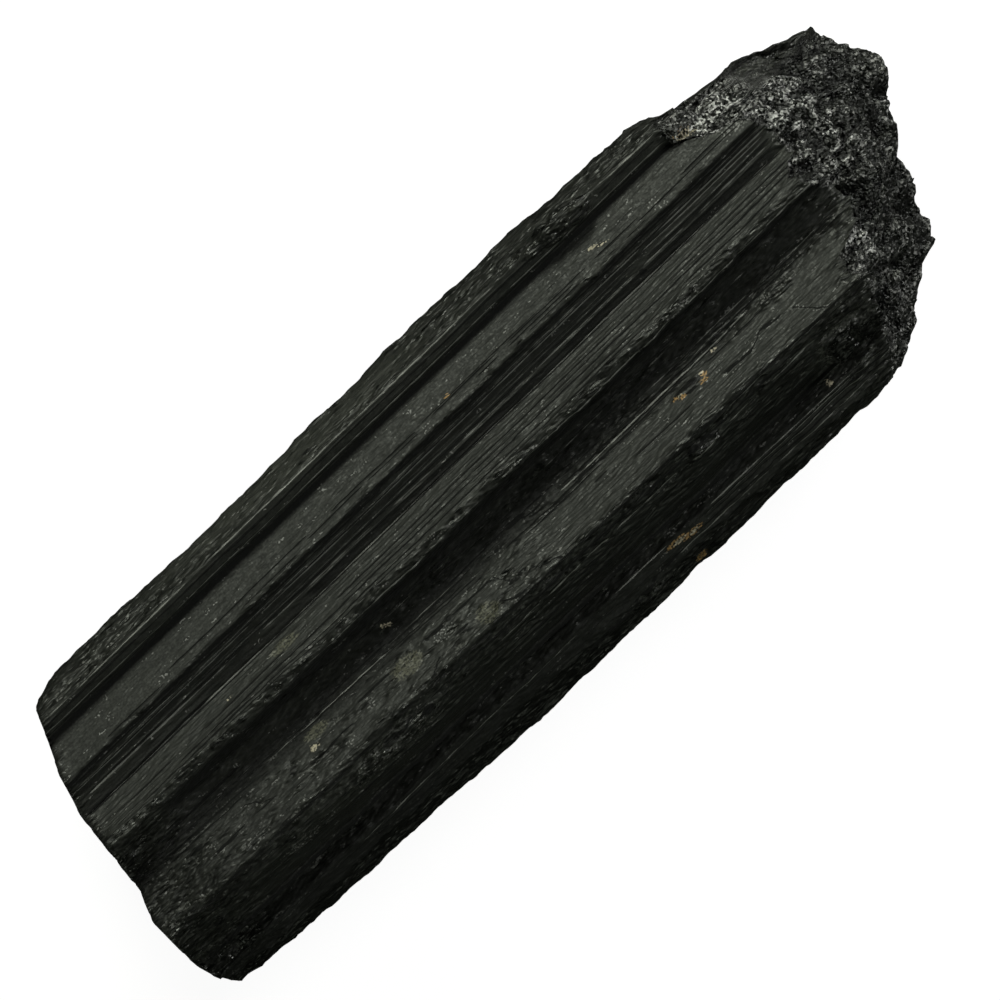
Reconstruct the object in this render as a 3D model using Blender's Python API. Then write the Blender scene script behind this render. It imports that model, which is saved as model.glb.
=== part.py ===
"""A rough rod of black tourmaline (schorl), lying on one of its own prism faces.

Blender 4.5. Metres, +Z up. +X runs along the rod to its granular broken end, +Y runs
across it, and the origin is on the floor under the middle of the rod's bounding box.
The rod is a loft through unlike sections: it grew as one prism, so it is one solid.
"""

import bpy
import numpy as np
from mathutils import Vector, noise

NAME = "tourmaline_crystal"
MM = 0.001

# Driving dimensions of the whole rod.
LENGTH = 120.5 * MM
WIDTH = 40.7 * MM
HEIGHT = 24.0 * MM

# Everything below is in millimetres, about the same origin as the finished rod.
# The lines that run along the prism, once around it from the +Y side over the top. Each
# has its y and its z at three stations along x, and a line between stations is a curve.
STATIONS = (-50.0, 0.0, 30.0)
LINES = (
    ("flank bulge", (19.1, 20.0, 20.1), (12.5, 12.5, 12.5)),
    ("rough band", (18.2, 19.0, 19.3), (16.4, 16.6, 16.6)),
    ("crest A", (16.05, 17.05, 17.45), (19.4, 19.7, 19.7)),
    ("step under A", (14.65, 15.5, 15.9), (18.7, 18.95, 18.95)),
    ("wall under A", (14.45, 15.35, 15.72), (18.2, 18.3, 18.3)),
    ("valley 1", (13.65, 14.45, 15.0), (17.9, 18.0, 18.0)),
    ("crest B", (9.5, 10.35, 10.8), (20.4, 20.6, 20.6)),
    ("notch under B", (8.95, 9.8, 10.3), (19.7, 19.9, 19.9)),
    ("thin rib", (8.26, 9.14, 9.7), (19.6, 19.75, 19.75)),
    ("gap", (7.85, 8.65, 9.15), (19.3, 19.45, 19.45)),
    ("soft rib", (7.0, 7.4, 7.9), (19.2, 19.3, 19.3)),
    ("valley 2", (5.36, 6.16, 6.64), (18.7, 18.8, 18.8)),
    ("crest C", (1.9, 2.2, 2.7), (22.1, 22.5, 22.5)),
    ("ledge under C", (1.0, 1.2, 1.7), (21.9, 22.2, 22.2)),
    ("valley 3, C side", (-0.4, 0.3, 1.0), (19.1, 19.3, 19.3)),
    ("valley 3, D side", (-2.6, -2.2, -1.8), (18.9, 18.9, 18.9)),
    ("shoulder of D", (-3.4, -3.95, -3.5), (19.4, 19.5, 19.5)),
    ("facet D foot", (-4.6, -4.8, -4.4), (20.0, 20.1, 20.1)),
    ("crest D", (-9.8, -9.0, -8.8), (23.2, 23.7, 23.9)),
    ("chipped edge", (-11.5, -11.0, -10.4), (21.9, 22.1, 22.3)),
    ("steep face", (-13.0, -13.0, -12.8), (18.7, 18.8, 18.9)),
    ("valley 4", (-14.5, -14.0, -13.8), (16.4, 16.4, 16.4)),
    ("crest E", (-16.6, -15.8, -15.8), (16.8, 16.9, 16.9)),
    ("step under E", (-18.0, -18.0, -18.0), (14.5, 14.6, 14.6)),
    ("lower bulge", (-19.4, -20.0, -19.4), (10.4, 10.3, 10.3)),
    ("flank groove", (-18.7, -19.2, -18.7), (9.2, 9.1, 9.1)),
    ("lower flank", (-19.1, -19.5, -19.0), (7.2, 7.0, 7.0)),
    ("under groove 1", (-16.8, -17.0, -16.6), (5.3, 5.2, 5.2)),
    ("under rib 1", (-15.6, -15.7, -15.4), (3.2, 3.1, 3.1)),
    ("under groove 2", (-13.2, -13.2, -13.0), (2.6, 2.5, 2.5)),
    ("under rib 2", (-11.8, -11.8, -11.6), (0.8, 0.8, 0.8)),
    ("under groove 3", (-10.2, -10.2, -10.0), (0.9, 0.9, 0.9)),
    ("rest, -Y edge", (-9.0, -9.0, -9.0), (0.0, 0.0, 0.0)),
    ("rest, +Y edge", (6.0, 6.0, 6.0), (0.0, 0.0, 0.0)),
    ("under groove 4", (7.6, 7.8, 8.0), (1.5, 1.5, 1.5)),
    ("under rib 3", (10.2, 10.4, 10.6), (1.3, 1.3, 1.3)),
    ("under groove 5", (12.2, 12.4, 12.6), (3.6, 3.6, 3.6)),
    ("under rib 4", (14.8, 15.2, 15.4), (4.1, 4.1, 4.1)),
    ("under groove 6", (16.0, 16.5, 16.7), (6.7, 6.7, 6.7)),
    ("flank rib", (18.0, 18.8, 19.0), (8.0, 8.0, 8.0)),
    ("flank groove 2", (18.0, 18.8, 19.0), (10.2, 10.2, 10.2)),
)
TOP_FROM = 9.8             # lines above this height make up the top
WIDEST_FACET = 2.5         # facets wider than this get columns between their two lines
WIDEST_UNDER = 4.0         # the same for the plain underside
ROWS = 52

# The +Y side of the plan narrows past a notch: x, then how far the side stands in.
SIDE_INSET = ((-60, 3.6), (-53, 0.9), (-50, 0.0), (-40, 0.1), (-30, 0.2), (-16, 0.3), (-5, 0.0),
              (20, -0.1), (34, 0.2), (36.5, 0.5), (37.8, 1.2), (39, 1.8), (44, 2.4), (50, 2.9),
              (54, 3.9), (60, 5.2))
SIDE_REACH = (6.0, 19.0)   # the inset grows from none at the first y to all at the second

# The broken end, over y: where the ridges stop, and how far the end face reaches.
RIDGE_END = ((-20, 37), (-16, 40.0), (-14, 40.0), (-12, 41.0), (-10, 42.5), (-6, 41.5), (-4, 46.0),
             (-2, 47.0), (0, 46.7), (2.3, 45.0), (4, 43.7), (6, 45.6), (9, 45.8), (11.4, 45.3),
             (12.6, 43.4), (13.6, 40.4), (15.2, 37.6), (20, 36.8))
END_REACH = ((-20, 36.0), (-19, 38.4), (-17.4, 41.8), (-16.4, 44.2), (-14.2, 46.2), (-12.6, 48.0),
             (-11.6, 51.3), (-9.5, 52.2), (-6, 53.4), (-2.7, 55.2), (0, 57.0), (2.2, 57.9),
             (4, 59.2), (6, 60.1), (8.5, 59.4), (10, 58.3), (12.5, 57.2), (15, 56.2), (20, 55.0))
END_LOW = 8.0              # height at which the end face reaches furthest
END_DROP = 1.1             # the ridges end in a small cliff of this height
END_BELLY = 0.65           # under 1 the face bulges out, 1 would be a straight slope
END_UNDERCUT = 3.5         # how far the end face draws back down to the floor
END_BLUR = 4.5             # how wide the ridges' shapes are averaged out below the rim
END_LIFT = 3.0             # how far the underside lifts towards the end

# The other end is cut almost square: x of the face over y, and how much it is rounded.
FOOT_FACE = ((-20, -56.8), (-18.2, -58.5), (-16.5, -59.4), (-12, -60.1), (-8, -60.2), (-4.2, -58.8),
             (1.5, -58.2), (6, -58.0), (10.5, -56.8), (14, -55.2), (17.5, -53.8), (20, -52.6))
FOOT_ROUNDING = (0.35, 1.8)    # how far the face draws back to its top and to its bottom edge
FOOT_SLUMP = 1.6           # the rough top near this end lies lower on the -Y half
FOOT_FILL = 1.9            # the deepest valley is shallower near this end

# Hollows that chips left: x, y, z of the middle, half length, half width, depth.
CHIPS = (
    (22.5, 17.4, 19.2, 5.5, 1.6, 0.9),
    (-28.0, -11.4, 22.0, 8.0, 1.5, 0.7),
    (17.5, -10.7, 22.3, 2.4, 1.2, 0.6),
    (34.5, -3.7, 20.2, 3.0, 1.0, 0.5),
    (40.0, -12.6, 19.0, 2.2, 1.5, 1.8),
    (3.0, -18.6, 13.0, 4.0, 1.8, 0.6),
)

CAP_RINGS = 9
LUMP_SIZES = ((9.0, 0.9), (4.0, 0.6))       # size and height of the broken end's lumps
RIPPLE = (26.0, 4.5, 0.22)                  # length, width and height of the faces' unevenness


def table(rows, at):
    """Read a two-column table at the given places."""
    xs, values = zip(*rows)
    return np.interp(at, xs, values)


def smooth_step(low, high, at):
    t = np.clip((at - low) / (high - low), 0.0, 1.0)
    return t * t * (3.0 - 2.0 * t)


def noise_at(points, size, seed):
    """Smooth noise, about -1 to 1, for each point; size may differ along the axes."""
    scale = 1.0 / np.broadcast_to(np.asarray(size, float), (3,))
    offset = Vector((17.3 * seed, -5.1 * seed, 9.7 * seed))
    return np.array([noise.noise(Vector(p * scale) + offset) for p in points])


def columns():
    """The lines, and the extra columns that divide wide facets, as pairs of lines and a share."""
    middle = STATIONS.index(0.0)
    places = []
    for i, (_, ys, zs) in enumerate(LINES):
        j = (i + 1) % len(LINES)
        width = np.hypot(LINES[j][1][middle] - ys[middle], LINES[j][2][middle] - zs[middle])
        limit = WIDEST_FACET if zs[middle] > TOP_FROM else WIDEST_UNDER
        parts = max(1, int(np.ceil(width / limit)))
        places += [(i, j, k / parts) for k in range(parts)]
    return places


def section(x, column):
    """y and z of one column at x, before the ends are shaped."""
    i, j, share = column
    values = []
    for which in (1, 2):
        a = np.polyval(np.polyfit(STATIONS, LINES[i][which], 2), x)
        b = np.polyval(np.polyfit(STATIONS, LINES[j][which], 2), x)
        values.append(a + (b - a) * share)
    y, z = values
    y = y - table(SIDE_INSET, x) * smooth_step(*SIDE_REACH, y) * smooth_step(18.3, 15.5, z)
    z = z - FOOT_SLUMP * smooth_step(-50.0, -60.0, x) * smooth_step(3.0, -2.0, y) * smooth_step(8.0, 16.0, z)
    z = z + FOOT_FILL * smooth_step(-47.0, -57.0, x) * np.exp(-((y + 0.6) / 1.9) ** 2)
    z = z + END_LIFT * smooth_step(44.0, 60.0, x) * smooth_step(8.0, 0.0, z)
    return y, z


def top_height(y):
    """Height of the ridged top at the broken end."""
    top = sorted((line[1][-1], line[2][-1]) for line in LINES if line[2][-1] > TOP_FROM)
    return table(top, y)


def end_slope(y, z, spread):
    """x of the broken end at y and z, with the ridges above it averaged over a spread of y."""
    around = [y + spread * k for k in (-1.0, -0.5, 0.0, 0.5, 1.0)]
    near = np.mean([table(RIDGE_END, place) for place in around], axis=0)
    top = np.mean([top_height(place) for place in around], axis=0)
    far = table(END_REACH, y)
    near = np.minimum(near, far)
    down = np.clip((top - END_DROP - z) / (top - END_DROP - END_LOW), 0.0, 1.0)
    under = np.clip((END_LOW - z) / END_LOW, 0.0, 1.0)
    return near + (far - near) * down ** END_BELLY - END_UNDERCUT * under ** 1.5


def end_face(y, z):
    """x of the broken end's face: it meets each ridge at the rim, and forgets them below it."""
    below = smooth_step(0.0, 5.0, top_height(y) - z)
    return end_slope(y, z, 0.0) * (1.0 - below) + end_slope(y, z, END_BLUR) * below


def foot_face(y, z):
    """x of the square end's face at y and z."""
    above, below = FOOT_ROUNDING
    rise = (z - 12.0) / 12.0
    return table(FOOT_FACE, y) + np.where(rise > 0.0, above, below) * np.abs(rise) ** 2.5


def column_end(column, face, start):
    """Where a column meets an end face."""
    x = start
    for _ in range(30):
        y, z = section(x, column)
        x = 0.5 * (x + face(y, z))
    return x


def lateral_rows(places):
    """Points of the ridged sides: one row of columns after another, from foot to end."""
    foot = np.array([column_end(c, foot_face, -57.0) for c in places])
    end = np.array([column_end(c, end_face, 45.0) for c in places])
    rows = []
    for t in np.linspace(0.0, 1.0, ROWS):
        xs = foot + (end - foot) * t
        rows.append([(x, *section(x, c)) for x, c in zip(xs, places)])
    return np.array(rows)


def cap_rings(rim, face):
    """Rings of points that close one end, from just inside the rim to the pole."""
    pole_y, pole_z = -1.0, 10.0
    rings = []
    for k in range(1, CAP_RINGS):
        share = k / CAP_RINGS
        y = rim[:, 1] + (pole_y - rim[:, 1]) * share
        z = rim[:, 2] + (pole_z - rim[:, 2]) * share
        rings.append(np.column_stack((face(y, z), y, z)))
    pole = np.array([face(pole_y, pole_z), pole_y, pole_z])
    return rings, pole


def roughen(points, along_x):
    """Lumps on an end's points: along_x says how much each one moves along x."""
    for seed, (size, height) in enumerate(LUMP_SIZES):
        points[:, 0] += along_x * height * noise_at(points, size, seed + 3)


def ripple_and_chip(rows):
    """Uneven faces, and the hollows of the chips, on the ridged sides."""
    flat = rows.reshape(-1, 3)
    length, width, height = RIPPLE
    out = flat - np.array([0.0, -1.0, 10.5])
    out[:, 0] = 0.0
    out /= np.linalg.norm(out, axis=1)[:, None]
    free = smooth_step(0.0, 1.5, flat[:, 2])
    move = height * noise_at(flat, (length, width, width), 1)
    for x, y, z, half_length, half_width, depth in CHIPS:
        away = (flat - (x, y, z)) / (half_length, half_width, half_width)
        move -= depth * np.clip(1.0 - (away ** 2).sum(axis=1), 0.0, 1.0)
    flat += out * (move * free)[:, None]
    return flat.reshape(rows.shape)


def solid_mesh():
    """The closed skin: the ridged sides, and a cap of rings on each end."""
    places = columns()
    rows = ripple_and_chip(lateral_rows(places))
    count = len(places)
    points = list(rows.reshape(-1, 3))
    faces = []

    def ring_of(first):
        return [first + k for k in range(count)]

    def bridge(lower, upper):
        for k in range(count):
            n = (k + 1) % count
            faces.append((lower[k], lower[n], upper[n], upper[k]))

    rings = [ring_of(r * count) for r in range(ROWS)]
    for lower, upper in zip(rings, rings[1:]):
        bridge(lower, upper)
    for rim, face, outward in ((rings[-1], end_face, 1), (rings[0], foot_face, -1)):
        inner, pole = cap_rings(np.array([points[i] for i in rim]), face)
        strength = 1.0 if outward > 0 else 0.35
        loops = [rim]
        for ring in inner:
            roughen(ring, strength)
            loops.append(ring_of(len(points)))
            points.extend(ring)
        for lower, upper in zip(loops, loops[1:]):
            bridge(*((lower, upper) if outward > 0 else (upper, lower)))
        top = len(points)
        points.append(pole)
        last = loops[-1]
        for k in range(count):
            n = (k + 1) % count
            faces.append((last[k], last[n], top) if outward > 0 else (last[n], last[k], top))
    return np.array(points), faces


def fit_to_size(points):
    """Scale to the driving dimensions, with the origin under the middle of the box."""
    low, high = points.min(axis=0), points.max(axis=0)
    points = (points - (low + high) / 2.0) / (high - low) * (LENGTH, WIDTH, HEIGHT)
    points[:, 2] += HEIGHT / 2.0
    return points


def stone_material():
    material = bpy.data.materials.new("schorl")
    material.use_nodes = True
    shader = material.node_tree.nodes["Principled BSDF"]
    shader.inputs["Base Color"].default_value = (0.016, 0.017, 0.015, 1.0)
    shader.inputs["Roughness"].default_value = 0.45
    shader.inputs["Metallic"].default_value = 0.0
    return material


def crystal(collection):
    points, faces = solid_mesh()
    mesh = bpy.data.meshes.new(NAME)
    mesh.from_pydata(fit_to_size(points).tolist(), [], faces)
    mesh.update()
    mesh.materials.append(stone_material())
    rod = bpy.data.objects.new(NAME, mesh)
    collection.objects.link(rod)
    return rod


def main():
    for obj in list(bpy.data.objects):
        bpy.data.objects.remove(obj)
    collection = bpy.data.collections.new(NAME)
    bpy.context.scene.collection.children.link(collection)
    crystal(collection)


main()
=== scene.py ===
"""Looks of the black tourmaline rod: a finely striated prism with a granular broken end.

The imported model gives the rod's box. The rod's form repeats the lines of part.py on a much
denser mesh, and adds the fine grooves, the chips, the grains and the stone's material.
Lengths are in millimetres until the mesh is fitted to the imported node, which is in metres.
"""
import itertools
import math
from collections import namedtuple
from types import SimpleNamespace

import bpy
import numpy as np
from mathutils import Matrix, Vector


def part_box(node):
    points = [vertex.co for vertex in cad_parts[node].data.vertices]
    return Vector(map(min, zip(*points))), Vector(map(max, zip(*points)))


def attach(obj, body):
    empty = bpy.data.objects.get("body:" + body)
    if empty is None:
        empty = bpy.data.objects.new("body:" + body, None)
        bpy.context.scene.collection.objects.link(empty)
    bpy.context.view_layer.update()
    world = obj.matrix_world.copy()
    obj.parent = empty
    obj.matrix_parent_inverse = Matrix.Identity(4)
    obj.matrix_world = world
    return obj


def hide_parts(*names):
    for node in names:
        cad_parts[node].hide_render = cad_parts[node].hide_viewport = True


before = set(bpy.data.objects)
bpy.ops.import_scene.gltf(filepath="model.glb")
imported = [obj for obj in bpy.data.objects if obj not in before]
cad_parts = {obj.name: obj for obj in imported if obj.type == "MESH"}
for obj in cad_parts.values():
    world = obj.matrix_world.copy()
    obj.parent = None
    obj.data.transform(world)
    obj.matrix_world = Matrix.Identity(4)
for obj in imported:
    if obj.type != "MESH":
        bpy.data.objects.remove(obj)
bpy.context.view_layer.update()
NODE = "tourmaline_crystal"
MM = 0.001

# ---------------------------------------------------------------- the rod's form
# Lines along the prism, once around it: name, y and z at three stations along x, then the
# fine striae per millimetre and the share of rough stone between this line and the next.
STATIONS = (-50.0, 0.0, 30.0)
LINES = (
    ("flank bulge", (19.1, 20.0, 20.1), (12.5, 12.5, 12.5), 0.2, 0.6),
    ("rough band", (18.2, 19.0, 19.3), (16.4, 16.6, 16.6), 0.4, 0.7),
    ("crest A", (16.05, 17.05, 17.45), (19.4, 19.7, 19.7), 1.6, 0.1),
    ("step under A", (14.65, 15.5, 15.9), (18.7, 18.95, 18.95), 1.0, 0.1),
    ("wall under A", (14.45, 15.35, 15.72), (18.2, 18.3, 18.3), 0.5, 0.1),
    ("valley 1", (13.65, 14.45, 15.0), (17.9, 18.0, 18.0), 0.5, 0.1),
    ("crest B", (9.5, 10.35, 10.8), (20.4, 20.6, 20.6), 1.0, 0.4),
    ("notch under B", (8.95, 9.8, 10.3), (19.7, 19.9, 19.9), 1.6, 0.15),
    ("thin rib", (8.26, 9.14, 9.7), (19.6, 19.75, 19.75), 1.6, 0.05),
    ("gap", (7.85, 8.65, 9.15), (19.3, 19.45, 19.45), 1.6, 0.1),
    ("soft rib", (7.0, 7.4, 7.9), (19.2, 19.3, 19.3), 1.6, 0.1),
    ("valley 2", (5.36, 6.16, 6.64), (18.7, 18.8, 18.8), 0.5, 0.05),
    ("stria C1", (3.38, 4.56, 5.24), (20.64, 20.29, 20.11), 0.5, 0.05),
    ("stria C3", (2.65, 3.6, 4.16), (21.36, 21.19, 21.13), 0.6, 0.2),
    ("crest C", (1.9, 2.2, 2.7), (22.1, 22.5, 22.5), 0.6, 0.8),
    ("ledge under C", (1.0, 1.2, 1.7), (21.9, 22.2, 22.2), 0.6, 0.5),
    ("valley 3, C side", (-0.4, 0.3, 1.0), (19.1, 19.3, 19.3), 1.6, 0.4),
    ("valley 3, D side", (-2.6, -2.2, -1.8), (18.9, 18.9, 18.9), 2.0, 0.55),
    ("shoulder of D", (-3.4, -3.95, -3.5), (19.4, 19.5, 19.5), 1.8, 0.42),
    ("facet D foot", (-4.6, -4.8, -4.4), (20.0, 20.1, 20.1), 0.25, 0.12),
    ("crest D", (-9.8, -9.0, -8.8), (23.2, 23.7, 23.9), 0.8, 0.55),
    ("chipped edge", (-11.5, -11.0, -10.4), (21.9, 22.1, 22.3), 1.2, 0.45),
    ("steep face", (-13.0, -13.0, -12.8), (18.7, 18.8, 18.9), 1.2, 0.1),
    ("valley 4", (-14.5, -14.0, -13.8), (16.4, 16.4, 16.4), 0.8, 0.45),
    ("crest E", (-16.6, -15.8, -15.8), (16.8, 16.9, 16.9), 1.2, 0.3),
    ("step under E", (-18.0, -18.0, -18.0), (14.5, 14.6, 14.6), 0.8, 0.6),
    ("lower bulge", (-19.4, -20.0, -19.4), (10.4, 10.3, 10.3), 0.6, 0.5),
    ("flank groove", (-18.7, -19.2, -18.7), (9.2, 9.1, 9.1), 0.6, 0.3),
    ("lower flank", (-19.1, -19.5, -19.0), (7.2, 7.0, 7.0), 0.6, 0.3),
    ("under groove 1", (-16.8, -17.0, -16.6), (5.3, 5.2, 5.2), 0.5, 0.3),
    ("under rib 1", (-15.6, -15.7, -15.4), (3.2, 3.1, 3.1), 0.5, 0.3),
    ("under groove 2", (-13.2, -13.2, -13.0), (2.6, 2.5, 2.5), 0.4, 0.3),
    ("under rib 2", (-11.8, -11.8, -11.6), (0.8, 0.8, 0.8), 0.0, 0.2),
    ("under groove 3", (-10.2, -10.2, -10.0), (0.9, 0.9, 0.9), 0.0, 0.2),
    ("rest, -Y edge", (-9.0, -9.0, -9.0), (0.0, 0.0, 0.0), 0.0, 0.1),
    ("rest, +Y edge", (6.0, 6.0, 6.0), (0.0, 0.0, 0.0), 0.0, 0.2),
    ("under groove 4", (7.6, 7.8, 8.0), (1.5, 1.5, 1.5), 0.3, 0.3),
    ("under rib 3", (10.2, 10.4, 10.6), (1.3, 1.3, 1.3), 0.4, 0.3),
    ("under groove 5", (12.2, 12.4, 12.6), (3.6, 3.6, 3.6), 0.4, 0.3),
    ("under rib 4", (14.8, 15.2, 15.4), (4.1, 4.1, 4.1), 0.5, 0.3),
    ("under groove 6", (16.0, 16.5, 16.7), (6.7, 6.7, 6.7), 0.5, 0.4),
    ("flank rib", (18.0, 18.8, 19.0), (8.0, 8.0, 8.0), 0.5, 0.5),
    ("flank groove 2", (18.0, 18.8, 19.0), (10.2, 10.2, 10.2), 0.4, 0.5),
)
NAMES = [line[0] for line in LINES]
SEAM = NAMES.index("rest, -Y edge")     # the columns start and end on the resting face
TOP_FROM = 9.8                          # lines above this height belong to the top

# Striae and ribs that stand out, by the line they lie after: the share of the way to the next
# line, width, height (a groove is negative), and the stretches along x where they show.
STRIAE = {
    "crest A": (
        (0.0, 0.26, 0.16, ((-53, -33), (-29, 13), (29.5, 36.5))), (0.4, 0.4, -0.2, ((-56, 26), (28, 36))),
        (0.75, 0.22, -0.08, ((-30, 20),))),
    "step under A": ((0.0, 0.26, 0.18, ((-56, 12), (14, 37))),),
    "valley 1": (
        (0.7, 0.2, -0.25, ((-40, -20), (-16, -4), (-1, 8), (10, 21), (23, 29), (36, 45))),
        (0.79, 0.18, -0.2, ((-20, -12), (-11, -4), (5, 8), (10, 19), (29, 45))),
        (0.89, 0.2, -0.2, ((-50, -42), (-30, -22), (12, 20), (24, 30))),
        (0.45, 0.18, -0.07, ((-34, -12), (14, 30)))),
    "notch under B": ((0.0, 0.3, -0.3, ((-56, -11), (-8, 14), (17, 45))), (0.7, 0.18, 0.1, ((-56, 45),))),
    "thin rib": ((0.0, 0.17, -0.28, ((-57, 46),)), (0.38, 0.2, 0.2, ((-57, -31), (-29, 27), (29, 46)))),
    "gap": (
        (0.08, 0.18, 0.14, ((27, 45),)), (0.3, 0.2, -0.12, ((-40, 26),)),
        (0.62, 0.3, -0.26, ((-52, 24), (27, 45)))),
    "soft rib": (
        (0.0, 0.3, 0.13, ((-56, -34), (-30, -14), (-11, 25), (26.2, 45))),
        (0.25, 0.2, -0.2, ((-24, 10), (14, 45))), (0.85, 0.22, -0.22, ((-57, -40), (-10, 4)))),
    "valley 2": (
        (0.0, 0.22, 0.16, ((-57, 45),)), (0.1, 0.15, -0.24, ((-57, 45),)),
        (0.55, 0.16, -0.07, ((-36, -8), (4, 26)))),
    "stria C1": (
        (0.0, 0.2, -0.22, ((-55, -47), (-42, -30), (-22, 22), (28, 45))),
        (0.5, 0.18, -0.14, ((-22, 6), (9, 20), (27, 45)))),
    "stria C3": (
        (0.0, 0.2, -0.3, ((-46, 45),)), (0.36, 0.18, 0.08, ((-30, 8),)),
        (0.52, 0.2, -0.28, ((-52, 9), (12, 20), (28, 42))), (0.8, 0.2, -0.18, ((-40, -12), (-2, 24)))),
    "ledge under C": ((0.0, 0.24, 0.2, ((-30, -12), (3, 24), (27, 45))),),
    "valley 3, C side": (
        (0.25, 0.3, -0.2, ((-24, -4), (8, 30))), (0.4, 0.26, 0.08, ((-20, 34),)),
        (0.66, 0.3, -0.26, ((-54, -42), (-14, -3), (2, 21)))),
    "valley 3, D side": (
        (0.12, 0.24, 0.12, ((-48, -40), (12, 45))), (0.3, 0.26, -0.2, ((-30, -22), (-12, 10), (20, 45))),
        (0.5, 0.22, 0.1, ((-26, -4), (12, 31))), (0.66, 0.24, -0.24, ((-58, -30), (-20, -11), (4, 46))),
        (0.84, 0.2, 0.18, ((-40, -22), (3, 31)))),
    "shoulder of D": (
        (0.0, 0.2, -0.2, ((-36, -11), (5, 31))), (0.16, 0.18, 0.12, ((-30, -12), (3, 20))),
        (0.36, 0.28, -0.4, ((-58, -42), (-21, -10), (-5, 21))),
        (0.64, 0.18, 0.12, ((-54, -48), (-5, 20))),
        (0.86, 0.2, -0.24, ((-54, -44), (-12, -9), (-2, 8), (24, 32)))),
    "facet D foot": (
        (0.19, 0.24, -0.3, ((-28, -23), (-14, -9), (6.8, 8.4))),
        (0.46, 0.22, -0.26, ((-50.5, -46), (-44, -41), (-36, -30), (12, 20), (24.5, 26.5))),
        (0.62, 0.16, -0.07, ((-38, -33), (-3, 6))), (0.33, 0.16, -0.05, ((0, 16),))),
    "crest D": (
        (0.1, 0.3, -0.36, ((-43, -30), (-8, 42))), (0.3, 0.2, 0.2, ((22.5, 28.5), (31, 36))),
        (0.6, 0.3, -0.24, ((-30, 16), (20, 42)))),
    "chipped edge": (
        (0.0, 0.24, 0.3, ((-12, 3.5), (5, 13.5), (16, 19.5), (21.5, 25), (28, 34))),
        (0.35, 0.3, -0.12, ((-40, 38),)), (0.8, 0.26, -0.22, ((-36, 6),))),
    "steep face": ((0.2, 0.24, -0.14, ((-20, -8), (4, 14))),),
    "valley 4": ((0.0, 0.45, -0.8, ((-58, 38),)),),
    "crest E": (
        (0.0, 0.22, 0.18, ((0, 7.5), (14, 36))), (0.1, 0.18, -0.22, ((14, 41),)),
        (0.2, 0.2, 0.18, ((-52, -6), (13, 42))), (0.3, 0.2, -0.22, ((-48, -20), (13, 41))),
        (0.4, 0.18, 0.16, ((15, 41),)), (0.55, 0.26, -0.22, ((12, 40),)), (0.75, 0.22, 0.14, ((8, 40),))),
    "step under E": ((0.3, 0.26, 0.14, ((-30, -12), (14, 30))), (0.5, 0.3, -0.25, ((-44, -28), (12, 34)))),
    "lower bulge": ((0.3, 0.3, -0.3, ((-50, 30),)),),
}
Stria = namedtuple("Stria", "share width height stretches")
STRIA_WIDEN = 1.35          # a stria's foot against the width that is seen as a line
STRIA_FADE = 0.8            # how far past its ends a stria fades out
# Between them are fine grooves, laid at random within these limits.
RANDOM_SHARES = (0.04, 0.96)
RANDOM_WIDTHS = (0.2, 0.3)
RANDOM_DEPTHS = (0.05, 0.13)
RANDOM_STARTS = (-75.0, 30.0)
RANDOM_LENGTHS = (15.0, 80.0)

# Painted shade drawn along the prism's clefts: line, how far past it, half width, strength,
# raggedness, and where along x they start and end.
CLEFT_SHADE = (
    ("wall under A", 0.5, 0.5, 1.0, 0.1, -60, 38), ("crest B", 0.45, 0.36, 0.95, 0.5, -60, 46),
    ("soft rib", 0.85, 0.3, 0.45, 0.2, -60, 46), ("ledge under C", 1.5, 1.6, 1.0, 0.3, -52, 46),
    ("crest D", 0.4, 0.25, 0.7, 0.6, -60, 42), ("valley 4", 0.0, 0.26, 1.0, 0.1, -60, 38),
)
# How shaded the stone lies between a line and the next, at these places along x.
SHADE_AT = (-45.0, -15.0, 15.0, 40.0)
SHADE = {
    "valley 3, C side": (0.1, 0.75, 0.75, 0.35), "valley 3, D side": (0.85, 0.75, 0.45, 0.5),
    "shoulder of D": (0.8, 0.4, 0.1, 0.2), "facet D foot": (0.4, 0.15, 0.0, 0.0),
    "crest D": (0.4, 0.4, 0.9, 0.3), "chipped edge": (0.0, 0.3, 0.4, 0.9),
    "steep face": (0.0, 0.1, 0.3, 0.9), "valley 4": (0.8, 0.7, 0.6, 0.3), "crest E": (0.9, 0.8, 0.5, 0.3),
    "step under E": (1.0, 1.0, 0.85, 0.5), "lower bulge": (1.0, 1.0, 0.85, 0.55),
    "flank groove": (0.95, 0.9, 0.75, 0.55),
}
# Facets that are duller than the rest, at the same places.
DULL = {
    "valley 1": (0.35, 0.12, 0.15, 0.15), "valley 3, D side": (1.4, 1.2, 0.2, 0.0),
    "shoulder of D": (1.4, 1.0, 0.3, 0.2), "facet D foot": (0.5, 0.25, 0.05, 0.1),
    "crest E": (0.9, 0.9, 0.5, 0.5),
}
TOP_SPACING = 0.3          # between columns on the top, where no stria asks for closer ones
SIDE_SPACING = 0.5         # and on the flanks
UNDER_SPACING = 1.2        # and underneath
UNDER_BELOW = 4.0
ROWS = 184

SIDE_INSET = ((-60, 3.6), (-53, 0.9), (-50, 0.0), (-40, 0.1), (-30, 0.2), (-16, 0.3), (-5, 0.0),
              (20, -0.1), (34, 0.2), (36.5, 0.5), (37.8, 1.2), (39, 1.8), (44, 2.4), (50, 2.9),
              (54, 3.9), (60, 5.2))
SIDE_REACH = (6.0, 19.0)   # the inset of the +Y side grows between these y
SWAY = 0.16                # how far striae wander across their face
LINE_SWAY = 0.07           # and the prism's own lines

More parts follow.
